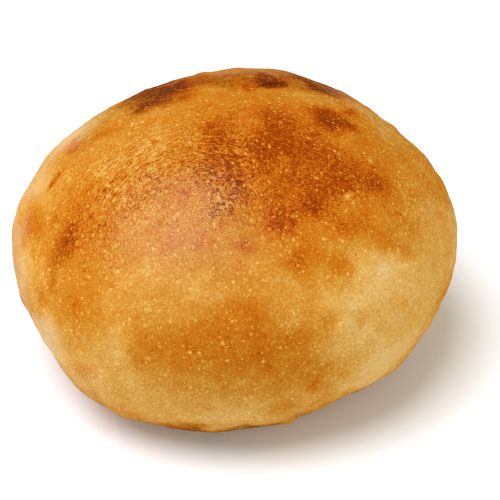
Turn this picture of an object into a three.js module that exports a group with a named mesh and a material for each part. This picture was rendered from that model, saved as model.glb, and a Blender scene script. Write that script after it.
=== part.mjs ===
// A pampushka: a small round yeast bun, baked on a flat oven floor until its crust is golden and blistered.
//
// It is one piece of bread, so it is one closed solid. The frame is in millimetres, with +Z up, +X to the
// bun's right and -Y to its front. The origin is on the table, under the middle of the bun.
//
// The shape is worked out in steps:
//   1. a geodesic sphere of even triangles gives one direction for each vertex of the crust;
//   2. a belly outline and a dome profile say how far the dough reaches in each direction;
//   3. broad swells and hollows make it the uneven, hand-rolled ball that it is;
//   4. oven spring leaves a low rolling relief and a scatter of blisters on the crust;
//   5. the foot is flat, where the dough lay on the oven floor, with a rounded edge around it.

import * as THREE from "three";
import { mergeVertices } from "three/addons/utils/BufferGeometryUtils.js";

// ---------------------------------------------------------------- driving dimensions, in millimetres

const BELLY_WIDTH = 84.4; // left to right, at the widest girth
const BELLY_DEPTH = 80; // front to back, at the widest girth
const BELLY_LEVEL = 23.5; // height of the widest girth above the table
const DOME_RISE = 29; // from the widest girth up to the crown
const KEEL_DROP = 27; // how far the underside would reach below the girth, had it not been baked flat
const DOME_FULLNESS = 1.94; // 2 is an ellipse; more is boxier
const KEEL_FULLNESS = 2.3;
const FOOT_EDGE = 1.6; // how softly the underside turns into the flat foot

const CRUST_DIVISIONS = 22; // each of the sphere's 20 faces becomes (this + 1) squared triangles

// Broad swells and hollows. `towards` is an azimuth from +X towards +Y and a height above the girth, both in
// degrees as seen from the middle of the girth; `spread` is the angle at which the swell has mostly gone.
const SWELLS = [
  { name: "front left belly", towards: [-126, -24], spread: 26, rise: 3.0 },
  { name: "left shoulder", towards: [182, 0], spread: 20, rise: 0.9 },
  { name: "right shoulder", towards: [0, 4], spread: 20, rise: 0.7 },
  { name: "crown", towards: [-96, 66], spread: 34, rise: 0.8 },
  { name: "back left flat", towards: [138, 30], spread: 28, rise: -2.3 },
  { name: "back of the crown", towards: [100, 50], spread: 26, rise: -1.1 },
  { name: "back right flat", towards: [40, 32], spread: 28, rise: -2.6 },
  { name: "front foot", towards: [-76, -32], spread: 24, rise: 1.6 },
];

// Rolling relief left by uneven oven spring: [wavelength, height] of each layer.
const ROLLS = [
  [26, 0.9],
  [13, 0.4],
];

// Blisters raised by gas under the crust.
const BLISTER_COUNT = 90;
const BLISTER_RADIUS = [1.9, 3.6]; // smallest and largest
const BLISTER_SLOPE = 0.16; // height over radius

// ---------------------------------------------------------------- small helpers

const DEGREE = Math.PI / 180;

// A unit vector from an azimuth and a height in degrees.
function towards([azimuth, height]) {
  const across = Math.cos(height * DEGREE);
  return new THREE.Vector3(
    across * Math.cos(azimuth * DEGREE),
    across * Math.sin(azimuth * DEGREE),
    Math.sin(height * DEGREE),
  );
}

// A repeatable stream of random numbers from 0 to 1.
function randomStream(seed) {
  let state = seed;
  return () => {
    state = (state + 0x6d2b79f5) | 0;
    let mixed = Math.imul(state ^ (state >>> 15), 1 | state);
    mixed = (mixed + Math.imul(mixed ^ (mixed >>> 7), 61 | mixed)) ^ mixed;
    return ((mixed ^ (mixed >>> 14)) >>> 0) / 4294967296;
  };
}

// A fixed random value from -1 to 1 for each corner of a cubic grid.
function cornerValue(x, y, z) {
  let mixed = Math.imul(x, 374761393) ^ Math.imul(y, 668265263);
  mixed ^= Math.imul(z, 2147483647);
  mixed = Math.imul(mixed ^ (mixed >>> 13), 1274126177);
  return ((mixed ^ (mixed >>> 16)) >>> 0) / 2147483648 - 1;
}

// Smooth noise: the corner values, blended across each cell of the grid.
function smoothNoise(point) {
  const cell = [point.x, point.y, point.z].map(Math.floor);
  const within = [point.x - cell[0], point.y - cell[1], point.z - cell[2]];
  const ease = within.map((t) => t * t * t * (t * (6 * t - 15) + 10));
  let sum = 0;
  for (let corner = 0; corner < 8; corner += 1) {
    const step = [corner & 1, (corner >> 1) & 1, corner >> 2];
    const share = step.reduce(
      (product, on, axis) => product * (on ? ease[axis] : 1 - ease[axis]),
      1,
    );
    sum += share * cornerValue(...step.map((on, axis) => cell[axis] + on));
  }
  return sum;
}

// 1 at the middle of a patch, falling smoothly to 0 at the given angle.
function patch(angle, spread) {
  const t = Math.min(1, angle / spread);
  return (1 - t * t) ** 2;
}

// The lower of two values, with a rounded corner where they cross.
function softLower(a, b, rounding) {
  const gap = Math.max(0, rounding - Math.abs(a - b)) / rounding;
  return Math.min(a, b) - (gap * gap * rounding) / 4;
}

// ---------------------------------------------------------------- the dough

// How far the dough reaches from the middle of the girth, before any swelling. Above the girth it follows the
// dome, and below it the deeper keel.
function reachOfDough(direction) {
  const rising = direction.z >= 0;
  const across = Math.hypot(
    direction.x / (BELLY_WIDTH / 2),
    direction.y / (BELLY_DEPTH / 2),
  );
  const along = Math.abs(direction.z) / (rising ? DOME_RISE : KEEL_DROP);
  const fullness = rising ? DOME_FULLNESS : KEEL_FULLNESS;
  return (across ** fullness + along ** fullness) ** (-1 / fullness);
}

// What the swells and hollows add in a direction.
const swellAxes = SWELLS.map((swell) => towards(swell.towards));
function swelling(direction) {
  return SWELLS.reduce((sum, swell, i) => {
    const angle = direction.angleTo(swellAxes[i]) / DEGREE;
    return sum + swell.rise * Math.exp(-((angle / swell.spread) ** 2));
  }, 0);
}

// What the rolling relief adds at a point on the crust.
function rolling(point) {
  return ROLLS.reduce(
    (sum, [wavelength, height], layer) =>
      sum +
      height *
        smoothNoise(
          point
            .clone()
            .divideScalar(wavelength)
            .addScalar(7.3 * (layer + 1)),
        ),
    0,
  );
}

// ---------------------------------------------------------------- the blisters

// Evenly scattered directions, by the golden angle, each nudged a little so that no rows show.
function scatterBlisters() {
  const random = randomStream(20);
  const turn = Math.PI * (3 - Math.sqrt(5));
  const [smallest, largest] = BLISTER_RADIUS;
  return Array.from({ length: BLISTER_COUNT }, (_, i) => {
    const height = 1 - (1.7 * (i + 0.5)) / BLISTER_COUNT;
    const across = Math.sqrt(1 - height * height);
    const azimuth = i * turn + (random() - 0.5) * 0.5;
    return {
      axis: new THREE.Vector3(
        across * Math.cos(azimuth),
        across * Math.sin(azimuth),
        height + (random() - 0.5) * 0.1,
      ).normalize(),
      radius: smallest + (largest - smallest) * random() ** 2,
    };
  });
}

const blisters = scatterBlisters();
function blistering(direction, reach) {
  return blisters.reduce((sum, { axis, radius }) => {
    const distance = direction.angleTo(axis) * reach;
    return distance < radius
      ? sum + BLISTER_SLOPE * radius * patch(distance, radius)
      : sum;
  }, 0);
}

// ---------------------------------------------------------------- the bun

// The point of the crust that lies in a direction from the middle of the girth.
function crustPoint(direction) {
  const dough = reachOfDough(direction) + swelling(direction);
  const onDough = direction.clone().multiplyScalar(dough);
  const relief = rolling(onDough) + blistering(direction, dough);
  const reach = dough + relief;
  if (direction.z >= 0) return direction.clone().multiplyScalar(reach);
  const toTable = BELLY_LEVEL / -direction.z;
  return direction
    .clone()
    .multiplyScalar(Math.min(softLower(reach, toTable, FOOT_EDGE), toTable));
}

function bunGeometry() {
  const sphere = new THREE.IcosahedronGeometry(1, CRUST_DIVISIONS);
  sphere.deleteAttribute("normal");
  sphere.deleteAttribute("uv");
  const geometry = mergeVertices(sphere, 1e-5);
  const position = geometry.getAttribute("position");
  const direction = new THREE.Vector3();
  for (let i = 0; i < position.count; i += 1) {
    direction.fromBufferAttribute(position, i).normalize();
    const point = crustPoint(direction);
    position.setXYZ(i, point.x, point.y, point.z + BELLY_LEVEL);
  }
  geometry.computeBoundingBox();
  const middle = geometry.boundingBox.getCenter(new THREE.Vector3());
  geometry.translate(-middle.x, -middle.y, 0);
  geometry.computeVertexNormals();
  return geometry;
}

const goldenCrust = new THREE.MeshStandardMaterial({
  color: new THREE.Color(0.69, 0.27, 0.03),
  roughness: 0.4,
  metalness: 0,
});

const bun = new THREE.Mesh(bunGeometry(), goldenCrust);
bun.name = "bun";

const pampushka = new THREE.Group();
pampushka.add(bun);

export default pampushka;
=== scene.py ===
# %% [markdown]
# # A pampushka, the small yeast bun
#
# The real thing is one piece of bread: a ball of dough about 85 mm across that was rolled by hand, left to
# rise, and baked on a flat oven floor. All of its character is in the crust. It is gold where the oven was
# gentle, amber and brown where the heat caught it, and peppered with tiny pale bubbles.
#
# The solid bun is already there as a frame, so this lesson only makes its skin: first a fine mesh of the
# same form, then the relief of blisters and dimples, then the browning, and last the material.

import math
import random
from functools import partial

import bmesh
import bpy
import numpy as np
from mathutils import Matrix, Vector, kdtree, noise
from mathutils.bvhtree import BVHTree


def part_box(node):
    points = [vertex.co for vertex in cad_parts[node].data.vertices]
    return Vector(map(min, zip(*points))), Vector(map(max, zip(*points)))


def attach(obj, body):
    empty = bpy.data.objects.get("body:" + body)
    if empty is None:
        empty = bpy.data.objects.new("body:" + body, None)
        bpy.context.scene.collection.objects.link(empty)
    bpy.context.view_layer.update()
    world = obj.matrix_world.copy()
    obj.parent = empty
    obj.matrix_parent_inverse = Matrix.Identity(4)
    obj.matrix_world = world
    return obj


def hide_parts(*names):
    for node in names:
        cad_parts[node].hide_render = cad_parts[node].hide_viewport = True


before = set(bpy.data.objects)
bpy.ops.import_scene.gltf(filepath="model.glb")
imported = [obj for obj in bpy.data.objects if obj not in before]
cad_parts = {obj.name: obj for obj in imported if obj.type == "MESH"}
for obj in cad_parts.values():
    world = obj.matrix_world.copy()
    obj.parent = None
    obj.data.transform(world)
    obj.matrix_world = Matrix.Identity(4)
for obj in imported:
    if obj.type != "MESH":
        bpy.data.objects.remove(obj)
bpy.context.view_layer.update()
MM = 0.001  # the lesson thinks in millimetres, and Blender works in metres
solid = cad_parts["bun"]
low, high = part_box("bun")
print("the bun is", [round(side / MM, 1) for side in high - low], "mm across, deep and high")

# %% [markdown]
# ## The camera
#
# The bun is seen from the front and from well above, so that its crown and its girth both show. A long lens
# from 65 cm away keeps the outline honest. The camera could be turned by a constraint that tracks the bun,
# but two angles and one point to aim at are easier to read, and the same numbers later place the marks.

# %% Aim the camera
PHOTO_SIDE = 500  # the picture is square, this many pixels a side
VIEW_RISE = math.radians(40)  # how far the camera looks down
VIEW_DISTANCE = 650 * MM
VIEW_WIDTH = 95.3 * MM  # what the picture spans at that distance
AIM = Vector((3.0, -1.9, 21.2)) * MM  # the bun sits a little left of the picture's middle
SENSOR = 36  # millimetres, Blender's own unit for a lens

view_forward = Vector((0, math.cos(VIEW_RISE), -math.sin(VIEW_RISE)))
view_right = Vector((1, 0, 0))
view_up = view_right.cross(view_forward)

camera_data = bpy.data.cameras.new("camera")
camera_data.sensor_width = SENSOR
camera_data.lens = SENSOR * VIEW_DISTANCE / VIEW_WIDTH
camera_data.clip_start = 10 * MM
camera = bpy.data.objects.new("camera", camera_data)
camera.location = AIM - view_forward * VIEW_DISTANCE
camera.rotation_euler = (math.pi / 2 - VIEW_RISE, 0, 0)
bpy.context.scene.collection.objects.link(camera)
bpy.context.scene.camera = camera
print("the lens is", round(camera_data.lens), "mm long")


def picture_ray(across, down):
    """The direction from the camera through a point of the picture, in pixels from its top left corner."""
    side = (across / PHOTO_SIDE - 0.5) * VIEW_WIDTH
    rise = (0.5 - down / PHOTO_SIDE) * VIEW_WIDTH
    return (view_forward * VIEW_DISTANCE + view_right * side + view_up * rise).normalized()


# %% [markdown]
# ## The studio
#
# The bun was lit by one large round softbox, high up and a little to the left, in a pale room whose walls
# are brightest low down, to the right and in front. The softbox leaves a soft rosy disc on the crust and
# pushes the shadow to the right. Three lamps around the bun would be the textbook way, but a bright world
# does the walls' work here, and one lamp adds the rest.

# %% Hang the softbox
bpy.context.scene.view_settings.view_transform = "Standard"

SOFTBOX_TOWARDS = Vector((-0.34, -0.07, 0.94)).normalized()  # from the bun to the lamp
SOFTBOX_DISTANCE = 3.0
SOFTBOX_SPREAD = math.radians(50)  # how wide the lamp looks from the bun
SOFTBOX_RADIANCE = 6.45
SOFTBOX_COLOUR = (1.0, 1.0, 1.05)  # a little cooler than the walls
softbox_radius = SOFTBOX_DISTANCE * math.tan(SOFTBOX_SPREAD / 2)

softbox_data = bpy.data.lights.new("softbox", "AREA")
softbox_data.shape = "DISK"
softbox_data.color = SOFTBOX_COLOUR
softbox_data.size = 2 * softbox_radius
softbox_data.energy = SOFTBOX_RADIANCE * math.pi * math.pi * softbox_radius**2
softbox = bpy.data.objects.new("softbox", softbox_data)
softbox.location = SOFTBOX_TOWARDS * SOFTBOX_DISTANCE
softbox.rotation_euler = SOFTBOX_TOWARDS.to_track_quat("Z", "Y").to_euler()
bpy.context.scene.collection.objects.link(softbox)
print("the softbox is", round(2 * softbox_radius, 2), "m wide")

# %% Paint the walls
WALL_LEVEL = 2.28  # how bright the walls are at the height of the floor
WALL_SLOPE = (0.22, -0.15, -2.50)  # a little brighter to the right and in front, and dark overhead
WALL_LEAST = 0.02
WALL_COLOUR = (1.0, 0.99, 0.79, 1)


def place(tree, kind, inputs=None, **settings):
    """Adds a node. An input is set to a number or a colour, or linked from another node's output."""
    node = tree.nodes.new(kind)
    for name, value in settings.items():
        setattr(node, name, value)
    for name, value in (inputs or {}).items():
        if isinstance(value, bpy.types.NodeSocket):
            tree.links.new(value, node.inputs[name])
        else:
            node.inputs[name].default_value = value
    return node


def maths(tree, operation, first, second, third=0.0):
    """The output of a new Math node."""
    inputs = {0: first, 1: second, 2: third}
    return place(tree, "ShaderNodeMath", inputs, operation=operation).outputs[0]


room = bpy.data.worlds.new("room")
bpy.context.scene.world = room
room.use_nodes = True
walls = room.node_tree
look = place(walls, "ShaderNodeTexCoord").outputs["Generated"]
slope = place(walls, "ShaderNodeVectorMath", {0: look, 1: WALL_SLOPE}, operation="DOT_PRODUCT")
level = maths(walls, "ADD", slope.outputs["Value"], WALL_LEVEL)
room_paint = walls.nodes["Background"]
walls.links.new(maths(walls, "MAXIMUM", level, WALL_LEAST), room_paint.inputs["Strength"])
room_paint.inputs["Color"].default_value = WALL_COLOUR
print("the walls are painted by", len(walls.nodes), "nodes")

# %% Lay the floor
FLOOR_HALF = 3.0
FLOOR_COLOUR = (0.82, 0.835, 0.88, 1)
floor_form = bmesh.new()
bmesh.ops.create_grid(floor_form, x_segments=1, y_segments=1, size=FLOOR_HALF)
floor_mesh = bpy.data.meshes.new("floor")
floor_form.to_mesh(floor_mesh)
floor_form.free()
floor = bpy.data.objects.new("floor", floor_mesh)
bpy.context.scene.collection.objects.link(floor)
floor_paint = bpy.data.materials.new("pale floor")
floor_paint.use_nodes = True
floor_shader = floor_paint.node_tree.nodes["Principled BSDF"]
floor_shader.inputs["Base Color"].default_value = FLOOR_COLOUR
floor_shader.inputs["Roughness"].default_value = 0.9
floor_shader.inputs["Specular IOR Level"].default_value = 0.1
floor_mesh.materials.append(floor_paint)
print("the floor is", 2 * FLOOR_HALF, "m square")

# %% [markdown]
# ## The form
#
# The frame's bun is made of loose triangles about 2 mm wide, too coarse for a crust. A Subdivision Surface
# on it would crowd points where its triangles meet. Instead the bun is used as a mould: a copy is merged and
# smoothed, and a new skin of even squares is pressed onto it. The skin starts as a cube, cut into a grid and
# blown up into a ball, so that its squares are all about half a millimetre wide. The six sides of the cube
# also lie flat side by side on the skin's UV map, where colours can be baked later.

# %% Make the mould
MERGE_WITHIN = 0.001 * MM
mould_form = bmesh.new()
mould_form.from_mesh(solid.data)
bmesh.ops.remove_doubles(mould_form, verts=mould_form.verts, dist=MERGE_WITHIN)
mould_mesh = bpy.data.meshes.new("mould")
mould_form.to_mesh(mould_mesh)
mould_form.free()
mould = bpy.data.objects.new("mould", mould_mesh)
bpy.context.scene.collection.objects.link(mould)
rounding = mould.modifiers.new("rounding", "SUBSURF")
rounding.levels = rounding.render_levels = 1
bpy.context.view_layer.update()
mould_surface = BVHTree.FromObject(mould, bpy.context.evaluated_depsgraph_get())
corners = np.array([vertex.co for vertex in mould_mesh.vertices])
widest = corners[np.argmax(np.hypot(corners[:, 0], corners[:, 1]))]
heart = Vector((0, 0, widest[2]))  # the middle of the bun, level with its girth
bpy.data.objects.remove(mould)
print("the girth is", round(heart.z / MM, 1), "mm above the floor")

# %% Cut a cube into even squares and lay its sides on the map
SQUARES = 128  # along each edge of the cube; fewer than 200,000 triangles in all
ATLAS = (3, 2)  # the cube's six sides lie side by side on the map, three across and two up
ATLAS_FILL = 0.985  # each side leaves a thin gap to the next

skin = bmesh.new()
bmesh.ops.create_cube(skin, size=2)
bmesh.ops.subdivide_edges(skin, edges=skin.edges, cuts=SQUARES - 1, use_grid_fill=True)
flat_map = skin.loops.layers.uv.new("OFBake")
for face in skin.faces:
    middle = face.calc_center_median()
    axis = max(range(3), key=lambda k: abs(middle[k]))
    cell = (axis, 0 if middle[axis] < 0 else 1)
    for loop in face.loops:
        sides = [loop.vert.co[k] for k in range(3) if k != axis]
        places = [cell[k] + 0.5 + 0.5 * ATLAS_FILL * sides[k] for k in range(2)]
        loop[flat_map].uv = (places[0] / ATLAS[0], places[1] / ATLAS[1])
print("the skin has", len(skin.faces), "squares")

# %% Press the skin onto the mould
SMOOTHINGS = 4  # enough to rub out the mould's triangles
for vertex in skin.verts:
    bulged = Vector([math.tan(side * math.pi / 4) for side in vertex.co])
    touched, _, _, _ = mould_surface.ray_cast(heart, bulged.normalized())
    vertex.co = touched
for _ in range(SMOOTHINGS):
    bmesh.ops.smooth_vert(
        skin, verts=skin.verts, factor=0.5, use_axis_x=True, use_axis_y=True, use_axis_z=True
    )
bmesh.ops.recalc_face_normals(skin, faces=skin.faces)
bun_mesh = bpy.data.meshes.new("crust")
skin.to_mesh(bun_mesh)
skin.free()
bun_mesh.shade_smooth()
bun = bpy.data.objects.new("crust", bun_mesh)
bpy.context.scene.collection.objects.link(bun)


def read(mesh, what, name):
    """One vector for each vertex, as the rows of an array."""
    values = np.empty(len(mesh.vertices) * 3)
    getattr(mesh, what).foreach_get(name, values)
    return values.reshape(-1, 3)


points = read(bun_mesh, "vertices", "co")
normals = read(bun_mesh, "vertex_normals", "vector")
above_floor = points[:, 2] / MM
print("the skin is pressed on, and its points number", len(points))

# %% [markdown]
# ## Marks
#
# Both the relief and the browning are made of marks. A mark is a soft oval spot on the skin, and it is
# placed by the point of the picture where it shows: a ray from the camera through that point finds its
# middle on the bun. Its size is a real one, in millimetres along the skin. Painting by hand in Texture Paint
# would be the usual way, but a list of named marks can be read, measured and changed.
#
# An oven never draws clean ovals, so every mark of its heat is seen through a ripple that pushes its edge in
# and out.

# %% Ripple the skin's points
RIPPLES = [(5.0, 1.3), (2.0, 0.5)]  # wavelength and reach of each ripple, in millimetres


def rolling_noise(wavelength, layer):
    """Smooth noise from about -1 to 1 at each point of the skin. Each layer lies elsewhere in the noise."""
    away = Vector((7.1, 3.7, 5.3)) * layer
    return np.array([noise.noise(Vector(point / (wavelength * MM)) + away) for point in points])


rippled = points.copy()
for layer, (wavelength, reach) in enumerate(RIPPLES):
    for axis in range(3):
        rippled[:, axis] += reach * MM * rolling_noise(wavelength, 10 * (layer + 1) + axis)
print("the ripples push by up to", round(np.abs(rippled - points).max() / MM, 2), "mm")

# %% Measure a mark
MARK_SHARPNESS = 3.0  # how steeply a mark ends; 2 is a bell curve


def skin_frame(spot, tilt):
    """The middle of a mark on the bun, and the two directions along the skin in which it is measured."""
    middle, normal, _, _ = mould_surface.ray_cast(camera.location, picture_ray(*spot))
    turned = view_right * math.cos(math.radians(tilt)) + view_up * math.sin(math.radians(tilt))
    along = (turned - normal * turned.dot(normal)).normalized()
    return middle, normal, along, normal.cross(along)


def mark(spot, long, short, tilt=0, sharpness=MARK_SHARPNESS, where=rippled):
    """How strongly a mark covers each point of the skin, from 0 to 1."""
    middle, normal, along, across = skin_frame(spot, tilt)
    offset = where - np.array(middle)
    distance = np.hypot(
        offset @ np.array(along) / (long * MM), offset @ np.array(across) / (short * MM)
    )
    same_side = normals @ np.array(normal) > 0
    return np.exp(-(distance**sharpness)) * same_side


def spread(marks, measure=mark, **how):
    """The sum of a list of marks."""
    total = np.zeros(len(points))
    for _, spot, long, short, tilt, strength in marks:
        total += strength * measure(spot, long, short, tilt, **how)
    return total


def strongest(marks, sharpness):
    """The strongest of a list of marks at each point."""
    total = np.zeros(len(points))
    for _, spot, long, short, tilt, strength in marks:
        total = np.maximum(total, strength * mark(spot, long, short, tilt, sharpness))
    return total


example = mark((PHOTO_SIDE / 2, PHOTO_SIDE / 2), long=10, short=10)
print("a mark of 10 by 10 mm covers", round(100 * np.mean(example > 0.5), 1), "% of the skin")

# %% [markdown]
# ## Marks on the rim
#
# Near the outline the skin is seen edge-on: the last millimetre of the picture holds ten millimetres of
# crust. A mark there is measured as the picture shows it, or its size would be a guess. It is measured
# before the relief pushes the skin out, so a mark that shows right at the outline is placed a few pixels
# further in.

# %% Measure a mark on the rim
PIXEL = VIEW_WIDTH / PHOTO_SIDE / MM  # how wide a pixel is at the bun, in millimetres
BEHIND_THE_RIM = (-0.35, -0.10)  # a rim mark has ended at the first facing, and is full at the second


def risen(values, start, end):
    """0 up to the start, 1 from the end on, and a straight rise between them."""
    return np.clip((values - start) / (end - start), 0, 1)


to_points = points - np.array(camera.location)
facing = -np.sum(normals * to_points, axis=1) / np.linalg.norm(to_points, axis=1)  # 0 at the outline
in_view = risen(facing, *BEHIND_THE_RIM)


def picture_places(where):
    """Where each point shows in the picture, in pixels from its top left corner."""
    offset = where - np.array(camera.location)
    scale = VIEW_DISTANCE / VIEW_WIDTH / (offset @ np.array(view_forward))
    across = (0.5 + offset @ np.array(view_right) * scale) * PHOTO_SIDE
    down = (0.5 - offset @ np.array(view_up) * scale) * PHOTO_SIDE
    return np.stack([across, down], 1)


seen = picture_places(points)
seen_rippled = picture_places(rippled)


def rim_mark(spot, long, short, tilt=0, sharpness=MARK_SHARPNESS, where=seen_rippled):
    """How strongly a mark on the rim covers each point, with its size as the picture shows it."""
    offset = (where - np.array(spot)) * PIXEL
    turn = math.radians(tilt)
    along = offset @ np.array([math.cos(turn), -math.sin(turn)])
    across = offset @ np.array([math.sin(turn), math.cos(turn)])
    return np.exp(-(np.hypot(along / long, across / short) ** sharpness)) * in_view


print("the skin that shows is", round(100 * np.mean(facing > 0)), "% of it")

# %% [markdown]
# ## The relief
#
# A crust is never smooth. Dough stretches unevenly as it rises, so there are low lumps; gas under the skin
# leaves blisters from a millimetre up; and the last of the heat pulls small dimples and pits into it. All of
# it is real shape here, pushed out along the skin's normals, because a bump in the material wouldn't show in
# the outline. What is finer than the mesh comes later, as bump.
#
# The foot stays flat, since the bun lies on it.

# %% Lumps and blisters
LUMPS = [(9.0, 0.30), (4.5, 0.14), (2.2, 0.07)]  # wavelength and height, in millimetres
BLISTERS = 900
BLISTER_RADIUS = (0.9, 2.6)  # smallest and largest, in millimetres
BLISTER_SLOPE = 0.055  # height over radius

relief = np.zeros(len(points))
for layer, (wavelength, height) in enumerate(LUMPS):
    relief += height * rolling_noise(wavelength, layer + 1)

nearby = kdtree.KDTree(len(points))
for index, point in enumerate(points):
    nearby.insert(point, index)
nearby.balance()

random.seed(7)
for _ in range(BLISTERS):
    smallest, largest = BLISTER_RADIUS
    radius = smallest + (largest - smallest) * random.random() ** 3  # most of them are small
    middle = points[random.randrange(len(points))]
    for _, index, distance in nearby.find_range(middle, radius * MM):
        relief[index] += radius * BLISTER_SLOPE * (1 - (distance / (radius * MM)) ** 2) ** 2
print("the relief runs from", round(relief.min(), 2), "to", round(relief.max(), 2), "mm")

# %% Dimples, pits and swells that show
# name, place in the picture, length and width in mm, tilt in degrees, height in mm
RELIEF_MARKS = [
    ("dimple on the right", (335, 322), 1.5, 1.9, 0, -0.55),
    ("swelling round the dimple", (337, 323), 2.7, 3.3, 0, 0.38),
    ("crease left of the dimple", (326, 325), 0.5, 2.6, 10, -0.22),
    ("little pit beside it", (364, 326), 0.7, 0.9, 0, -0.22),
    ("large bubble in the field", (350, 194), 0.9, 0.9, 0, 0.16),
    ("bubble on the far right", (369, 160), 0.7, 0.7, 0, 0.12),
    ("pit on the left flank", (88, 222), 0.8, 0.8, 0, -0.20),
    ("pit low on the left", (98, 295), 0.7, 0.7, 0, -0.16),
    ("pit in the middle", (299, 276), 0.7, 0.7, 0, -0.16),
    ("pit in the band", (214, 323), 0.7, 0.7, 0, -0.16),
    ("hollow above the bright disc", (200, 172), 9.0, 6.0, -10, -0.28),
    ("swelling below it", (182, 262), 9.0, 6.0, 0, 0.32),
]
# the same, with length and width in mm as the picture shows them
RIM_RELIEF_MARKS = [
    ("bump on the top rim", (204, 71), 1.3, 1.2, 0, 0.14),
    ("bump on the upper left rim", (94, 118), 1.0, 0.9, 40, 0.12),
    ("bump on the upper right rim", (393, 126), 1.1, 1.0, -42, 0.25),
    ("bump on the right rim", (425, 156), 1.3, 1.2, -50, 0.10),
    ("notch on the left rim", (16, 290), 0.9, 0.8, 90, -0.14),
    ("notch at the foot", (300, 418), 1.8, 1.4, 0, -0.72),
    ("flatter upper left", (36, 173), 4.5, 2.5, 57, -0.55),
    ("flatter far left shoulder", (62, 142), 4.5, 2.5, 45, -0.25),
    ("flatter top left", (170, 81), 6.0, 2.5, 18, -0.42),
    ("flatter top", (210, 70), 5.0, 2.5, 5, -0.52),
    ("flatter upper right", (382, 118), 3.0, 2.0, -40, -0.30),
    ("fuller top right", (352, 98), 4.0, 2.5, -30, 0.22),
    ("fuller right", (455, 232), 9.0, 2.5, 88, 0.22),
    ("fuller left", (11, 255), 7.0, 2.5, 90, 0.42),
    ("fuller lower left", (80, 388), 6.5, 2.5, -42, 0.54),
    ("fuller front", (220, 430), 18.0, 2.5, 0, 0.57),
    ("flatter foot on the right", (342, 400), 6.5, 2.5, 25, -0.54),
    ("fuller lower right", (399, 363), 5.5, 2.5, 42, 0.56),
    ("fuller left, above", (17, 210), 3.5, 2.5, 80, 0.16),
    ("fuller left, below", (22, 297), 5.0, 2.5, -70, 0.52),
    ("flatter lower left", (50, 350), 2.0, 2.0, -55, -0.16),
    ("fuller front left", (131, 420), 4.0, 2.5, -22, 0.26),
    ("flatter right, below", (434, 318), 3.0, 2.5, 62, -0.12),
    ("fuller right, below", (450, 283), 3.0, 2.5, 76, 0.22),
    ("flatter above the upper left", (90, 121), 3.5, 2.0, 40, -0.09),
    ("fuller upper right", (411, 143), 2.5, 2.5, -45, 0.12),
    ("flatter on the upper right", (436, 172), 2.0, 2.0, -60, -0.10),
]
relief += spread(RELIEF_MARKS, sharpness=2, where=points)
relief += spread(RIM_RELIEF_MARKS, rim_mark, sharpness=2, where=seen)

FOOT_EDGE = 3.0  # the relief fades out towards the floor, over this height in millimetres
fading = risen(above_floor, 0, FOOT_EDGE)
relief *= fading * fading * (3 - 2 * fading)
raised = points + normals * (relief * MM)[:, None]
bun_mesh.vertices.foreach_set("co", raised.ravel())
bun_mesh.update()
print("the crust has", len(RELIEF_MARKS + RIM_RELIEF_MARKS), "dimples, bumps and dents of its own")

# %% [markdown]
# ## The browning
#
# One number says how far each point of the crust has browned: 0 is the palest cream, 1 a dark brown.
# Because a crust browns along one path of colours, that number is nearly all that the material needs. It is
# kept on the mesh as an attribute, which follows the skin and can be baked.
#
# The marks build it up as the oven did: broad fields first, then the scorches, where the bun stood nearest
# the heat, and the spots and freckles last.

# %% Brown the side that shows
BASE_BROWNING = 0.48
OVEN_HEAT = 1.2  # how strongly all the marks tell
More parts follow.
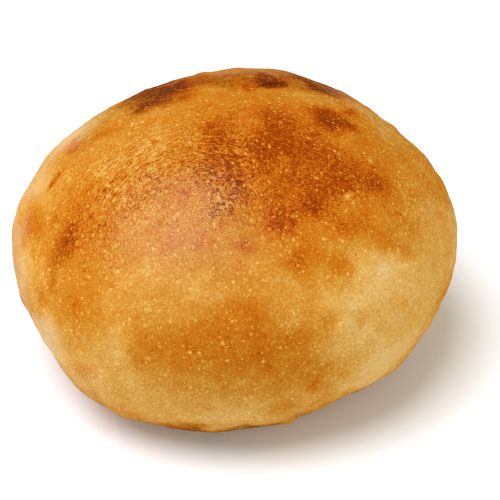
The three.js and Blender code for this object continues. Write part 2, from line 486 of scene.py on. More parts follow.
# name, place in the picture, length and width in mm, tilt in degrees, browning added
OVEN_MARKS = [
    # broad fields
    ("brown field on the back right", (308, 172), 17.0, 13.0, -10, 0.33),
    ("brown field on the far right", (380, 152), 10.0, 9.0, -40, 0.03),
    ("brown field towards the crown", (228, 128), 9.0, 12.0, 20, 0.14),
    ("brown far shoulder", (275, 112), 8.0, 10.0, 0, 0.14),
    ("gold middle", (190, 285), 17.0, 8.0, 0, -0.07),
    ("gold gap under the middle", (180, 312), 8.0, 3.5, 0, -0.07),
    ("brown right of the middle", (236, 232), 6.0, 8.0, 0, 0.08),
    ("gold lower left", (120, 358), 8.5, 7.0, 0, -0.20),
    ("pale right side", (400, 322), 13.0, 15.0, 40, -0.31),
    ("pale right side, upper part", (372, 268), 7.0, 5.0, 0, -0.14),
    ("pale right side, inner part", (345, 330), 5.0, 8.0, 0, -0.12),
    ("pale lower right rim", (368, 378), 8.0, 5.0, 28, -0.20),
    ("pale strip along the foot", (200, 414), 24.0, 7.0, 0, -0.24),
    ("pale left rim", (32, 185), 6.0, 9.0, 60, -0.16),
    ("pale left rim, below", (24, 268), 6.0, 6.0, 90, -0.24),
    ("pale lower left rim", (55, 352), 8.0, 9.0, -55, -0.26),
    ("pale upper left rim", (92, 122), 14.0, 5.0, 35, -0.21),
    ("brown band across the front", (228, 342), 16.0, 7.0, 0, 0.19),
    ("brown left flank", (82, 225), 7.0, 9.0, 0, 0.16),
    ("brown lower left flank", (78, 312), 6.0, 8.0, -20, 0.10),
    ("brown patch low on the left", (78, 368), 3.0, 3.2, -40, 0.16),
    ("pale right rim", (440, 240), 9.0, 8.0, 80, -0.14),
    ("freckle near the right rim", (428, 190), 2.0, 2.0, 0, 0.06),
    ("gold right of the middle", (298, 304), 6.0, 5.0, 0, -0.06),
    ("brown left of the disc", (138, 205), 8.0, 9.0, 0, 0.10),
    ("brown over the disc", (190, 171), 9.0, 5.5, 0, 0.10),
    ("brown under the disc", (192, 252), 6.0, 5.0, 0, 0.09),
    ("soft shade on the upper right", (374, 138), 7.0, 6.0, -40, 0.05),
    # scorches
    ("round scorch on the right", (333, 119), 5.0, 4.6, -25, 0.47),
    ("small scorch beside it", (350, 112), 1.8, 2.4, 0, 0.34),
    ("tilted scorch on the left flank", (63, 246), 2.5, 5.6, -25, 0.20),
    # spots
    ("spot left of the crown", (212, 132), 3.0, 4.0, 0, 0.15),
    ("spot below it", (228, 162), 4.0, 2.4, -30, 0.08),
    ("dark patch by the creases", (230, 185), 3.0, 1.8, -30, 0.12),
    ("gold gap on the crown", (246, 125), 2.5, 5.0, 0, -0.16),
    ("spot over the middle", (270, 150), 3.2, 2.4, 0, 0.06),
    ("spot on the far shoulder", (275, 109), 2.4, 3.2, 0, 0.10),
    ("spot right of the middle", (333, 183), 4.0, 2.6, 0, 0.10),
    ("spot in the field", (312, 208), 3.0, 2.4, 0, 0.16),
    ("spot far right", (381, 186), 3.4, 3.2, 0, 0.15),
    ("spot under the field", (283, 222), 3.0, 3.0, 0, 0.18),
    ("spot beside it", (340, 228), 2.2, 2.4, 0, 0.16),
    ("spot at the pale edge", (340, 268), 3.2, 2.2, 0, 0.30),
    ("spot below the field", (298, 268), 2.0, 3.0, 0, 0.22),
    ("faint spot below the field", (314, 256), 3.0, 1.8, 0, 0.14),
    ("middle freckle", (247, 248), 2.0, 1.6, 0, 0.18),
    ("freckle right of the field", (385, 243), 3.2, 1.8, -30, 0.20),
    ("reddish freckle", (406, 252), 2.4, 2.0, 0, 0.18),
    ("freckle in the pale side", (362, 319), 1.6, 1.8, 0, 0.22),
    ("gold in the dimple", (335, 322), 1.2, 1.8, 0, 0.13),
    ("shade left of the dimple", (327, 328), 0.8, 2.8, 10, 0.12),
    ("streak at the upper left", (107, 131), 4.0, 1.8, 32, 0.20),
    ("streak at the left rim", (53, 181), 2.8, 1.2, 64, 0.42),
    ("patch at the very left", (31, 228), 3.4, 3.6, 0, 0.24),
    ("freckle on the left flank", (87, 272), 1.8, 1.6, 0, 0.10),
    ("dark end of the band", (144, 356), 3.6, 3.8, 0, 0.16),
    ("dark top of the band", (240, 310), 4.5, 2.0, 0, 0.08),
    ("freckle low on the right", (316, 382), 1.4, 2.6, -10, 0.20),
    ("freckle at the foot", (282, 408), 2.6, 2.4, 0, 0.24),
    ("freckle low on the left", (88, 372), 1.8, 1.8, 0, 0.10),
    ("freckle in the strip", (208, 407), 1.8, 1.2, 0, 0.12),
    ("freckle low at the left rim", (33, 257), 0.9, 1.2, 0, 0.18),
    ("spot above the tilted scorch", (54, 219), 1.3, 1.3, 0, 0.16),
    ("spot under the tilted scorch", (54, 285), 0.9, 1.7, 0, 0.20),
    ("reddish patch low on the left", (42, 297), 1.8, 2.4, 0, 0.16),
    ("spot low on the left", (74, 302), 1.2, 1.1, 0, 0.12),
    ("freckle under the left flank", (112, 285), 0.9, 0.8, 0, 0.16),
    ("freckle left of the middle", (139, 260), 1.4, 1.6, 0, 0.12),
    ("freckle on the far right", (400, 216), 1.0, 0.9, 0, 0.14),
    ("freckle above it", (402, 156), 1.2, 1.0, 0, 0.10),
    ("freckle low in the pale side", (402, 302), 1.2, 1.0, 0, 0.12),
    ("freckle by the low one", (344, 375), 1.0, 1.2, 0, 0.14),
    # bubbles that dried pale
    ("large bubble in the field", (350, 194), 0.8, 0.8, 0, -0.42),
    ("bubble on the far right", (369, 160), 0.7, 0.7, 0, -0.36),
    ("bubble under the field", (291, 217), 0.6, 0.6, 0, -0.34),
]
# the same, with length and width in mm as the picture shows them
RIM_OVEN_MARKS = [
    ("scorch on the upper left rim", (156, 92), 7.6, 2.5, 18, 0.50),
    ("its ragged lower edge", (185, 93), 3.0, 1.6, 10, 0.20),
    ("brown top rim", (232, 77), 9.5, 2.2, 3, 0.23),
    ("dark spot under the top rim", (248, 88), 1.8, 1.1, 0, 0.22),
    ("scorch on the top rim", (273, 84), 3.0, 1.3, -8, 0.66),
    ("scorch on the upper right rim", (317, 85), 6.6, 1.8, -22, 0.38),
    ("gold strip under it", (312, 97), 5.0, 0.9, -18, -0.10),
    ("pale upper right rim", (388, 130), 5.0, 2.0, -42, -0.14),
    ("pale upper left rim, at its edge", (90, 120), 6.5, 2.0, 40, -0.05),
    ("brown lower right edge", (345, 396), 8.0, 0.5, 24, 0.10),
    ("pale right edge", (455, 225), 9.0, 1.4, 88, -0.22),
    ("streak on the upper left rim", (72, 146), 2.2, 0.55, 42, 0.32),
    ("brown front edge", (215, 427), 16.0, 0.6, 0, 0.26),
]
shown = BASE_BROWNING + OVEN_HEAT * (spread(OVEN_MARKS) + spread(RIM_OVEN_MARKS, rim_mark))
print("the side that shows has", len(OVEN_MARKS + RIM_OVEN_MARKS), "marks")

# %% Brown the far side
# The far side continues what shows: brown over the shoulder, gold on the flank and pale above the floor.
FAR_BROWNING = 0.54
FAR_PATCHES = [(19.0, 0.45), (8.0, 0.30)]  # wavelength in millimetres and strength
FAR_SHOULDER = 42.0  # browner above this height in millimetres, paler below
SHOULDER_SOFTNESS = 12.0  # millimetres
SHOULDER_BROWNING = 0.22
SCORCH_WIDTH = 11.0  # millimetres
SCORCH_START = 0.25  # the level of the noise from which it scorches
SCORCH_BROWNING = 0.5
RING_LEVEL = 9.0  # height in millimetres of the pale ring that runs round the bun
RING_WIDTH = 6.0
RING_BROWNING = 0.12
RING_FADE = 0.5  # how much of the other browning the ring takes away
far_side = FAR_BROWNING + SHOULDER_BROWNING * np.tanh((above_floor - FAR_SHOULDER) / SHOULDER_SOFTNESS)
for layer, (wavelength, strength) in enumerate(FAR_PATCHES):
    far_side += strength * rolling_noise(wavelength, 41 + layer)
far_side += SCORCH_BROWNING * np.clip(rolling_noise(SCORCH_WIDTH, 43) - SCORCH_START, 0, 1)
pale_ring = np.exp(-(((above_floor - RING_LEVEL) / RING_WIDTH) ** 2))
far_side = far_side * (1 - RING_FADE * pale_ring) + RING_BROWNING * pale_ring

TURNED_AWAY = (-0.33, -0.03)  # the skin is wholly hidden at the first facing, and shows at the second
hidden = 1 - risen(facing, *TURNED_AWAY)
browned = shown + (far_side - shown) * hidden
print("the far side takes over on", round(100 * np.mean(hidden > 0.5)), "% of the skin")

# %% Brown the foot and mottle the whole crust
FOOT_BROWNING = 0.78  # the foot lay on the hot floor
FOOT_PATCHES = (6.0, 0.25)  # wavelength in millimetres and strength
FACING_DOWN = (-0.95, -0.75)  # the skin is foot at the first slope, and flank at the second
underside = 1 - risen(normals[:, 2], *FACING_DOWN)
wavelength, strength = FOOT_PATCHES
browned += (FOOT_BROWNING + strength * rolling_noise(wavelength, 44) - browned) * underside

MOTTLES = [(6.0, 0.10), (3.2, 0.09), (1.8, 0.06)]  # wavelength in millimetres and strength
for layer, (wavelength, strength) in enumerate(MOTTLES):
    browned += strength * rolling_noise(wavelength, 50 + layer)

SOLE_EDGE = 0.45  # what the hot floor added to the edge that just shows below
SOLE_FACING = (0.0, 0.10)
SOLE_HEIGHT = (8.0, 12.0)  # millimetres
sole = (1 - risen(facing, *SOLE_FACING)) * (1 - risen(above_floor, *SOLE_HEIGHT))
browned += SOLE_EDGE * sole * (1 - underside)


def keep_on_skin(name, values, kind="FLOAT", field="value"):
    """Stores one value for each vertex as a named attribute."""
    attribute = bun_mesh.attributes.new(name, kind, "POINT")
    attribute.data.foreach_set(field, np.ascontiguousarray(values, dtype=np.float32).ravel())


keep_on_skin("browning", browned)
print("the browning runs from", round(browned.min(), 2), "to", round(browned.max(), 2))

# %% [markdown]
# ## Soot and shade, bloom and sheen, grit, shine and edge
#
# Five more numbers finish the crust. Soot darkens the worst scorches beyond the last brown of the ramp, and
# the same number paints shade: painted shade on the top and upper rims, a painted shadow along the front and
# lower right edges, where the bun meets the floor, and painted shade low in front. Bloom is the dry, floury
# haze of a few dull spots, and the same number paints sheen: the grazing reflection of the room that whitens
# the rims, most of all on the left, and a little painted sheen below the disc. Grit says how rough the skin
# is: the crown is like fine sandpaper, and the flanks are smoother. Shine is where the skin was stretched
# thin
# and dried glossy: the disc that faces the lamp, and the plates above it. Edge says how far the skin turns
# from the eye, since its mottling looks stronger there. What the real crust has of this comes mostly from
# one cause, the heat, but each is simpler to see and to change as a list of its own.

# %% Spread them over the skin
# name, place in the picture, length and width in mm (as the picture shows them for RIM), tilt, strength
# soot on the real scorches, and painted shade low in front
SOOT_AND_SHADE_MARKS = [
    ("flank scorch", (61, 250), 2.4, 5.0, -25, 0.26),
    ("round scorch", (333, 119), 3.8, 3.2, -25, 0.04),
    ("painted shade low in front", (222, 376), 26.0, 13.0, 0, 0.20),
]
# the three scorches are soot; the rest is painted shade on the upper rims and painted shadow at the foot
RIM_SOOT_AND_SHADE_MARKS = [
    ("top left scorch", (154, 94), 7.8, 2.4, 18, 0.82),
    ("top scorch", (275, 84), 3.2, 1.1, -8, 0.55),
    ("upper right scorch", (317, 85), 6.2, 1.6, -22, 0.82),
    ("painted shade on the far top rim", (238, 75), 11.0, 2.0, 2, 0.45),
    ("upper left rim", (95, 124), 6.0, 1.8, 40, 0.22),
    ("upper right rim", (385, 126), 7.0, 1.8, -42, 0.22),
    ("front edge", (215, 429), 19.0, 0.7, 0, 0.60),
    ("lower right edge", (345, 400), 9.0, 0.6, 24, 0.18),
]
# a pale fleck and a dull patch, and painted sheen below the disc
BLOOM_AND_SHEEN_MARKS = [
    ("pale fleck on the right", (384, 270), 1.6, 1.2, 0, 0.12),
    ("dull patch at the very left", (26, 228), 2.0, 3.0, 0, 0.08),
    ("painted sheen below the disc", (182, 248), 13.0, 5.5, 0, 0.04),
]
# painted sheen: the grazing reflection of the room along the rims, brightest on the left
RIM_SHEEN_MARKS = [
    ("upper left rim", (71, 131), 6.5, 1.9, 42, 0.32),
    ("left rim", (30, 180), 6.5, 1.8, 62, 0.17),
    ("very left rim", (14, 234), 5.5, 1.7, 88, 0.25),
    ("left rim, below", (19, 282), 6.0, 1.9, -75, 0.26),
    ("lower left rim", (44, 337), 5.5, 2.2, -58, 0.34),
    ("lower left flank", (90, 390), 9.0, 3.0, -42, 0.08),
    ("very top", (250, 70), 9.0, 1.2, 0, 0.08),
    ("dry top left scorch", (155, 90), 8.5, 2.6, 18, 0.015),
    ("dry top right scorch", (312, 84), 7.5, 2.0, -20, 0.01),
    ("right rim", (456, 225), 9.0, 1.2, 88, 0.07),
    ("upper right rim", (352, 100), 7.0, 1.2, -30, 0.06),
]
GRIT_BASE = 0.5
GRIT_MARKS = [
    ("crown and field", (238, 160), 29.0, 18.0, -8, 0.35),
    ("disc and upper left", (156, 190), 17.0, 15.0, 20, 0.40),
    ("left flank", (70, 240), 9.0, 14.0, 0, 0.20),
    ("far right", (405, 180), 9.0, 12.0, -30, 0.30),
]
GRIT_SHARPNESS = 4
SHINE_MARKS = [
    ("disc", (183, 235), 15.5, 12.6, 0, 1.0),
    ("plates above the disc", (209, 191), 5.4, 4.4, -30, 1.0),
]
SHINE_SHARPNESS = 4
EDGE_ON = (0.0, 0.4)  # the skin is edge-on at the first facing

shows = 1 - hidden
# this number darkens the scorches and paints shade and shadow on the rims and low in front
keep_on_skin("soot_and_shade", spread(SOOT_AND_SHADE_MARKS) + spread(RIM_SOOT_AND_SHADE_MARKS, rim_mark) * shows)
# this number hazes a few dull spots and paints sheen on the rims and below the disc
keep_on_skin("bloom_and_sheen", spread(BLOOM_AND_SHEEN_MARKS) + spread(RIM_SHEEN_MARKS, rim_mark) * shows)
keep_on_skin("edge", (1 - risen(facing, *EDGE_ON)) * shows)
keep_on_skin("grit", GRIT_BASE + spread(GRIT_MARKS, sharpness=GRIT_SHARPNESS))
keep_on_skin("shine", strongest(SHINE_MARKS, SHINE_SHARPNESS))
print("soot has", len(SOOT_AND_SHADE_MARKS + RIM_SOOT_AND_SHADE_MARKS), "marks")

# %% [markdown]
# ## The creases
#
# Around the bright disc the skin has puckered: short fine arcs run round it, and above it on the right it
# has cracked into small plates with dark lines between them. Each crack could be drawn as a curve, but there
# are dozens, and they follow circles about the disc's middle. So the skin keeps an attribute there with the
# distance from that middle and the way around it. Noise stretched along the way around then gives the arcs.
# A coarser one gives the cracks, which are the lines where it is zero, and the plates, where it is high.

# %% Measure around the disc
DISC_MIDDLE = (190, 222)  # in the picture
RING = 10 * MM  # the way around is measured on a ring of this radius, which closes without a seam
middle, normal, along, across = skin_frame(DISC_MIDDLE, 0)
offset = points - np.array(middle)
outward = np.hypot(offset @ np.array(along), offset @ np.array(across))
around = np.arctan2(offset @ np.array(across), offset @ np.array(along))
swirl = np.stack([outward, RING * np.cos(around), RING * np.sin(around)], 1)
keep_on_skin("swirl", swirl, "FLOAT_VECTOR", "vector")

# name, place in the picture, length and width in mm, tilt in degrees, strength
ARC_MARKS = [
    ("arcs over the upper left", (140, 172), 12.0, 9.0, 35, 1.0),
    ("arcs on the left", (112, 225), 5.0, 8.0, 0, 0.7),
    ("arcs over the top", (215, 160), 9.0, 6.0, -20, 0.8),
    ("arcs on the right", (250, 215), 3.5, 7.0, 0, 0.6),
]
CRACK_MARKS = [
    ("cracks above the disc", (207, 172), 4.2, 1.7, -18, 1.0),
    ("cracks at its upper right", (226, 187), 4.4, 2.6, -40, 1.0),
    ("cracks on its right", (225, 208), 2.8, 3.2, -60, 0.9),
    ("cracks on its upper left", (158, 189), 3.0, 1.4, 30, 0.6),
    ("cracks on its left", (131, 207), 2.6, 1.5, 50, 0.6),
    ("cracks in the disc", (168, 224), 2.0, 0.9, 10, 0.5),
    ("cracks under the disc", (190, 246), 2.2, 1.0, -30, 0.5),
]
ARC_SHARPNESS = 2.0
CRACK_SHARPNESS = 2.5
ARCS_LOST = 0.7  # how much of the arcs goes where the skin is cracked

cracked = strongest(CRACK_MARKS, CRACK_SHARPNESS)
keep_on_skin("arched", strongest(ARC_MARKS, ARC_SHARPNESS) * (1 - ARCS_LOST * cracked))
keep_on_skin("cracked", cracked)
print("cracks cover", round(100 * np.mean(cracked > 0.1), 1), "% of the skin")

# %% [markdown]
# ## Specks, grain and sand
#
# The crust is peppered with tiny bubbles. Each is a thin dome that dried pale, so it is both lighter and
# raised. They could be modelled one by one, but they are half a millimetre wide and there are thousands, so
# they are a pattern: a Voronoi texture gives every cell one speck of a random size and strength. Real
# bubbles aren't round, so the pattern is stirred by noise first.
#
# Between the bubbles the skin is grainy. One more group gives soft grain from noise, and another gives sharp
# sand, where every cell of a Voronoi texture has one level. They are groups, so that another material can
# use them with sizes of its own.

# %% Two helpers for groups


def start_group(name, numbers, result):
    """A node group that takes a Position and these numbers, and puts out one result."""
    group = bpy.data.node_groups.new(name, "ShaderNodeTree")
    group.interface.new_socket("Position", in_out="INPUT", socket_type="NodeSocketVector")
    for number, usual in numbers.items():
        socket = group.interface.new_socket(number, in_out="INPUT", socket_type="NodeSocketFloat")
        socket.default_value = usual
    group.interface.new_socket(result, in_out="OUTPUT", socket_type="NodeSocketFloat")
    given = place(group, "NodeGroupInput").outputs
    return group, given, partial(maths, group)


def chosen_from(tree, chance, span):
    """A random number between the two ends of a span."""
    inputs = {"Value": chance, "To Min": span[0], "To Max": span[1]}
    return place(tree, "ShaderNodeMapRange", inputs).outputs["Result"]


print("a group takes a Position and its own numbers, and puts out one result")

# %% A group that scatters specks
SPECK_NUMBERS = {
    "Spacing": 1.3,  # millimetres
    "Radius": 0.3,  # in spacings
    "Softness": 0.6,
    "Share": 1.0,  # of the cells that have a speck
    "Stir": 0.4,  # in spacings
}
SPECK_SIZES = (0.45, 1.3)  # smallest and largest, in radii
SPECK_STRENGTHS = (0.4, 1.0)
STIR_FINENESS = 2.3  # how much finer than the spacing the stirring is

specks, given, in_specks = start_group("stirred specks", SPECK_NUMBERS, "Mask")
density = in_specks("DIVIDE", 1 / MM, given["Spacing"])
finer = in_specks("MULTIPLY", density, STIR_FINENESS)
stirring = place(
    specks, "ShaderNodeTexNoise", {"Vector": given["Position"], "Scale": finer, "Detail": 1.0}
)
centred = place(
    specks,
    "ShaderNodeVectorMath",
    {0: stirring.outputs["Color"], 1: (0.5, 0.5, 0.5)},
    operation="SUBTRACT",
)
reach = in_specks("MULTIPLY", given["Stir"], given["Spacing"])
in_metres = in_specks("MULTIPLY", reach, MM)
push = place(
    specks, "ShaderNodeVectorMath", {0: centred.outputs[0], "Scale": in_metres}, operation="SCALE"
)
stirred = place(
    specks, "ShaderNodeVectorMath", {0: given["Position"], 1: push.outputs[0]}, operation="ADD"
)
cells = place(specks, "ShaderNodeTexVoronoi", {"Vector": stirred.outputs[0], "Scale": density})
chance = place(specks, "ShaderNodeSeparateColor", {"Color": cells.outputs["Color"]}).outputs
outer = in_specks("MULTIPLY", given["Radius"], chosen_from(specks, chance["Red"], SPECK_SIZES))
inner = in_specks("MULTIPLY", outer, in_specks("SUBTRACT", 1.0, given["Softness"]))
dots = place(
    specks,
    "ShaderNodeMapRange",
    {"Value": cells.outputs["Distance"], "From Min": outer, "From Max": inner},
    interpolation_type="SMOOTHSTEP",
)
chosen = in_specks("LESS_THAN", chance["Green"], given["Share"])
picked = in_specks("MULTIPLY", dots.outputs["Result"], chosen)
masked = in_specks("MULTIPLY", picked, chosen_from(specks, chance["Blue"], SPECK_STRENGTHS))
place(specks, "NodeGroupOutput", {"Mask": masked})
print("the group of specks has", len(specks.nodes), "nodes")

# %% A group that grains a surface
NOISE_SPAN = (0.25, 0.75)  # where nearly all of the noise lies
grain, given, in_grain = start_group("fine grain", {"Wavelength": 0.5}, "Height")  # millimetres
density = in_grain("DIVIDE", 1 / MM, given["Wavelength"])
rough = place(
    grain,
    "ShaderNodeTexNoise",
    {"Vector": given["Position"], "Scale": density, "Detail": 1.0, "Roughness": 0.5},
)
centred = place(
    grain,
    "ShaderNodeMapRange",
    {
        "Value": rough.outputs["Fac"],
        "From Min": NOISE_SPAN[0],
        "From Max": NOISE_SPAN[1],
        "To Min": -1.0,
        "To Max": 1.0,
    },
    clamp=False,
)
place(grain, "NodeGroupOutput", {"Height": centred.outputs["Result"]})
print("the group of grain has", len(grain.nodes), "nodes")

# %% A group that sands a surface
sand, given, in_sand = start_group("sand", {"Grain": 0.25}, "Height")  # millimetres
density = in_sand("DIVIDE", 1 / MM, given["Grain"])
cells = place(sand, "ShaderNodeTexVoronoi", {"Vector": given["Position"], "Scale": density})
chance = place(sand, "ShaderNodeSeparateColor", {"Color": cells.outputs["Color"]}).outputs
place(sand, "NodeGroupOutput", {"Height": chosen_from(sand, chance["Red"], (-1.0, 1.0))})
print("the group of sand has", len(sand.nodes), "nodes")

# %% [markdown]
# ## The crust's material
#
# The colours follow the browning along one ramp, from cream through gold and amber to dark brown. The
# patterns move the browning up or down a little before the ramp is read, so that every speck and grain stays
# on the crust's own path of colours. Mixing a second colour in for each would be the usual way, and it soon
# looks like paint.

# %% Start the crust's material
crust = bpy.data.materials.new("baked crust")
crust.use_nodes = True
tree = crust.node_tree
shader = tree.nodes["Principled BSDF"]
position = place(tree, "ShaderNodeTexCoord").outputs["Object"]
in_crust = partial(maths, tree)


def kept(name, output="Fac"):
    """What the skin keeps in one of its attributes."""
    return place(tree, "ShaderNodeAttribute", attribute_name=name).outputs[output]


def patterned(group, where, **numbers):
    """The result of a group, placed in the material with its own numbers."""
    inputs = {"Position": where, **numbers}
    return place(tree, "ShaderNodeGroup", inputs, node_tree=group).outputs[0]


def ramped(value, start, end):
    """0 up to the start, 1 from the end on, and smooth between them."""
    inputs = {"Value": value, "From Min": start, "From Max": end}
    node = place(tree, "ShaderNodeMapRange", inputs, interpolation_type="SMOOTHSTEP")
    return node.outputs["Result"]


def weighed(start, patterns):
    """A start, plus every pattern times its weight."""
    total = start
    for pattern, weight in patterns:
        total = in_crust("MULTIPLY_ADD", pattern, weight, total)
    return total


print("the skin keeps", sorted(name for name in bun_mesh.attributes.keys() if name[0] != "."))

# %% Scatter bubbles and grain
# spacing in millimetres, radius in spacings, softness, share of the cells, stir in spacings
SPECKS = {
    "pinpricks": (0.65, 0.34, 0.6, 0.6, 0.5),
    "bubbles": (1.10, 0.28, 0.45, 0.75, 0.5),
    "larger bubbles": (1.9, 0.21, 0.4, 0.5, 0.5),
    "domes": (5.0, 0.15, 0.4, 0.5, 0.5),
    "dark grains": (0.75, 0.34, 0.8, 0.45, 0.5),
    "pores": (3.1, 0.07, 0.5, 0.4, 0.2),
}
GRAIN_WIDTHS = {"dust": 0.33, "medium": 0.60, "coarse": 1.3}  # millimetres
SAND_WIDTH = 0.27  # millimetres

speck = {
    name: patterned(specks, position, **dict(zip(SPECK_NUMBERS, numbers)))
    for name, numbers in SPECKS.items()
}
grit = kept("grit")
dust, medium_grain, coarse = [
    patterned(grain, position, Wavelength=width) for width in GRAIN_WIDTHS.values()
]
fine = in_crust("MULTIPLY", dust, grit)
grains = in_crust("MULTIPLY", patterned(sand, position, Grain=SAND_WIDTH), grit)
medium = in_crust("MULTIPLY", medium_grain, grit)
dark_grains = in_crust("MULTIPLY", speck["dark grains"], grit)
print("the crust has", len(speck), "kinds of speck and", len(GRAIN_WIDTHS), "grains")

# %% Draw arcs and cracks
ARC_WIDTH = 0.30  # millimetres between two arcs
CRACK_WIDTH = 0.80  # millimetres between two cracks
ARC_STRETCH = 3.0  # how much longer than wide an arc is
CRACK_STRETCH = 1.5
# where each effect starts and is full, as a level of the cracks' noise or as the distance from its zero
CRACK_LINES = (0.22, 0.02)
BESIDE_A_CRACK = (0.35, 0.10)
PLATES = (0.15, 0.40)
BREAK_WIDTH = 1.3  # millimetres between two gaps that break up the cracks
BREAKS = (-0.5, 0.1)


def around_the_disc(stretch):
    """The skin's place about the disc, drawn out along its circles."""
    inputs = {"Vector": kept("swirl", "Vector"), "Scale": (1, 1 / stretch, 1 / stretch)}
    return place(tree, "ShaderNodeMapping", inputs, vector_type="POINT").outputs[0]


arc_noise = patterned(grain, around_the_disc(ARC_STRETCH), Wavelength=ARC_WIDTH)
arcs = in_crust("MULTIPLY", arc_noise, kept("arched"))
crack_noise = patterned(grain, around_the_disc(CRACK_STRETCH), Wavelength=CRACK_WIDTH)
from_line = in_crust("ABSOLUTE", crack_noise, 0.0)
unbroken = ramped(patterned(grain, position, Wavelength=BREAK_WIDTH), *BREAKS)
crack_lines = in_crust("MULTIPLY", ramped(from_line, *CRACK_LINES), unbroken)
cracked_here = kept("cracked")
cracks = in_crust("MULTIPLY", crack_lines, cracked_here)
plates = in_crust("MULTIPLY", ramped(crack_noise, *PLATES), cracked_here)
beside_cracks = in_crust("MULTIPLY", ramped(from_line, *BESIDE_A_CRACK), cracked_here)
print("arcs are", ARC_WIDTH, "mm apart, and cracks", CRACK_WIDTH, "mm")

# %% Tone the crust
edge = kept("edge")
shine = kept("shine")
# pattern, and how far it moves the browning
TONES = [
    (fine, 0.15),
    (grains, 0.15),
    (medium, 0.13),
    (coarse, 0.05),
    (arcs, 0.50),
    (cracks, 0.68),
    (in_crust("MULTIPLY", coarse, edge), 0.14),
    (in_crust("MULTIPLY", medium, edge), 0.20),
    (dark_grains, 0.06),
    (in_crust("MULTIPLY", grains, shine), 0.05),
    (in_crust("MULTIPLY", medium, shine), -0.06),
    (speck["pores"], 0.45),
]
# pattern, and how far it fades the browning
FADES = [
    (speck["pinpricks"], 0.68),
    (speck["bubbles"], 0.74),
    (speck["larger bubbles"], 0.68),
    (speck["domes"], 0.50),
    (plates, 0.30),
]
toned = weighed(kept("browning"), TONES)
for pattern, fade in FADES:
    toned = in_crust("MULTIPLY", toned, in_crust("MULTIPLY_ADD", pattern, -fade, 1.0))
print(len(TONES), "patterns move the browning, and", len(FADES), "fade it")

# %% Colour the crust
# stage of baking, browning, and the colour there
PALETTE = [
    ("cream", 0.00, (0.520, 0.330, 0.124)),
    ("straw", 0.10, (0.497, 0.289, 0.079)),
    ("dark straw", 0.18, (0.474, 0.258, 0.061)),
    ("pale gold", 0.27, (0.462, 0.232, 0.045)),
    ("gold", 0.35, (0.443, 0.203, 0.031)),
    ("deep gold", 0.43, (0.417, 0.174, 0.020)),
    ("honey", 0.51, (0.400, 0.152, 0.013)),
    ("dark honey", 0.59, (0.388, 0.132, 0.008)),
    ("amber", 0.67, (0.386, 0.116, 0.006)),
    ("dark amber", 0.76, (0.367, 0.096, 0.004)),
    ("chestnut", 0.84, (0.331, 0.073, 0.003)),
    ("brown", 0.92, (0.287, 0.052, 0.002)),
    ("dark brown", 1.00, (0.226, 0.032, 0.001)),
    ("scorched", 1.25, (0.146, 0.025, 0.003)),
]
_, DARKEST, _ = PALETTE[-1]
ramp = place(tree, "ShaderNodeValToRGB", {"Fac": in_crust("DIVIDE", toned, DARKEST)})
stops = ramp.color_ramp.elements
stops[0].position = 0
stops[1].position = 1
for _, browning, _ in PALETTE[1:-1]:
    stops.new(browning / DARKEST)
for stop, (_, _, colour) in zip(stops, PALETTE):
    stop.color = (*colour, 1)
print("the palette runs from", PALETTE[0][0], "to", PALETTE[-1][0], "in", len(PALETTE), "colours")

# %% Darken the soot and the painted shade, and haze the bloom and the painted sheen
SOOT_AND_SHADE_GRAIN = [(fine, 0.7), (medium, 0.8)]  # pattern, and how strongly it roughens the soot
BLOOM_AND_SHEEN_COLOUR = (0.56, 0.47, 0.36, 1)
# painted sheen, greying the plates above the disc a little
PLATE_SHEEN = 0.06
# real scorches, and painted shade and shadow on the rims and low in front
soot_and_shade_amount = in_crust("MULTIPLY", weighed(1.0, SOOT_AND_SHADE_GRAIN), kept("soot_and_shade"))
# pattern, and how much lighter it makes the crust
LIGHTENINGS = [
    (soot_and_shade_amount, -0.60),
    (dust, -0.08),
    (shine, -0.035),  # what shines scatters less
    (speck["pinpricks"], 0.11),
    (speck["bubbles"], 0.16),
    (speck["larger bubbles"], 0.14),
]
darkened_by_soot_and_shade = place(
    tree,
    "ShaderNodeVectorMath",
    {0: ramp.outputs["Color"], "Scale": weighed(1.0, LIGHTENINGS)},
    operation="SCALE",
)
# painted sheen on the rims, below the disc and on the plates, and the haze of a few dull spots
bloom_and_sheen_amount = in_crust("MULTIPLY_ADD", plates, PLATE_SHEEN, kept("bloom_and_sheen"))
# a Mix node of colours has its factor at input 0, its colours at 6 and 7, and its result at output 2
mixed = {0: bloom_and_sheen_amount, 6: darkened_by_soot_and_shade.outputs[0], 7: BLOOM_AND_SHEEN_COLOUR}
with_bloom_and_sheen = place(tree, "ShaderNodeMix", mixed, data_type="RGBA")
tree.links.new(with_bloom_and_sheen.outputs[2], shader.inputs["Base Color"])
print(len(LIGHTENINGS), "patterns lighten or darken the colour")

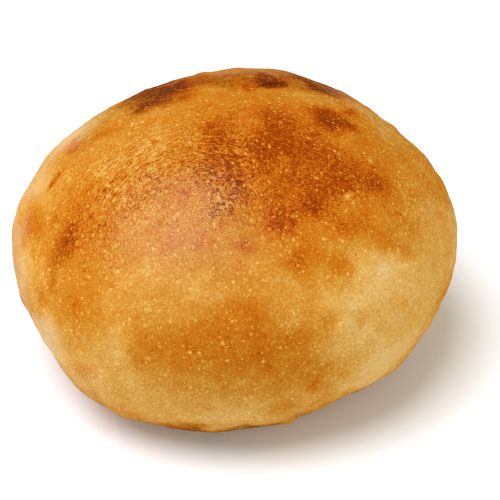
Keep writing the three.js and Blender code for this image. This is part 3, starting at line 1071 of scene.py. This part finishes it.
# %% [markdown]
# ## Gloss and fine relief
#
# Bread is dull, but a skin that was stretched thin dries with a faint satin shine. A lower roughness would
# be the usual way, and it would whiten the whole rim as well, where any glossy skin mirrors the room. So the
# bread itself mirrors nothing, and a thin coat shines on the disc and hardly anywhere else. The specks,
# grains and cracks are finer than the mesh, so they are bump here, each with a height in millimetres.

# %% Gloss the disc
DULL = 0.002  # a trace of shine from the sugars that caramelised
GLOSSY = 0.053  # the coat on the disc
CRACK_DULLNESS = 0.8  # how much of the shine a crack takes away
shader.inputs["Specular IOR Level"].default_value = 0.0
shader.inputs["Coat IOR"].default_value = 3.0  # evens the shine out, or it would whiten the rims
shader.inputs["Coat Roughness"].default_value = 0.43
coat = in_crust("MULTIPLY_ADD", shine, GLOSSY, DULL)
still_glossy = in_crust("MULTIPLY_ADD", beside_cracks, -CRACK_DULLNESS, 1.0)
tree.links.new(in_crust("MULTIPLY", coat, still_glossy), shader.inputs["Coat Weight"])
gloss = place(
    tree,
    "ShaderNodeMapRange",
    {"Value": toned, "From Min": 0.1, "From Max": 0.9, "To Min": 0.45, "To Max": 0.35},
)
tree.links.new(gloss.outputs["Result"], shader.inputs["Roughness"])
print("the coat weighs", DULL, "on the crust and", round(DULL + GLOSSY, 3), "on the disc")

# %% Raise the fine relief
# pattern, and its height in millimetres
HEIGHTS = [
    (speck["pinpricks"], 0.02),
    (speck["bubbles"], 0.05),
    (speck["larger bubbles"], 0.07),
    (speck["domes"], 0.09),
    (speck["pores"], -0.08),
    (fine, -0.012),
    (grains, -0.010),
    (medium, -0.022),
    (coarse, 0.03),
    (arcs, -0.05),
    (cracks, -0.18),
    (plates, 0.08),
]
fine_relief = {"Height": weighed(0.0, HEIGHTS), "Strength": 1.0, "Distance": MM}
bump = place(tree, "ShaderNodeBump", fine_relief)
tree.links.new(bump.outputs["Normal"], shader.inputs["Normal"])
bun_mesh.materials.append(crust)
print("the crust's material has", len(tree.nodes), "nodes")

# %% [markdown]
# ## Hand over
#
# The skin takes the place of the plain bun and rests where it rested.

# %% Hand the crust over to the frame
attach(bun, "root")
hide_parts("bun")
print("the crust rides on the root and replaces the plain bun")
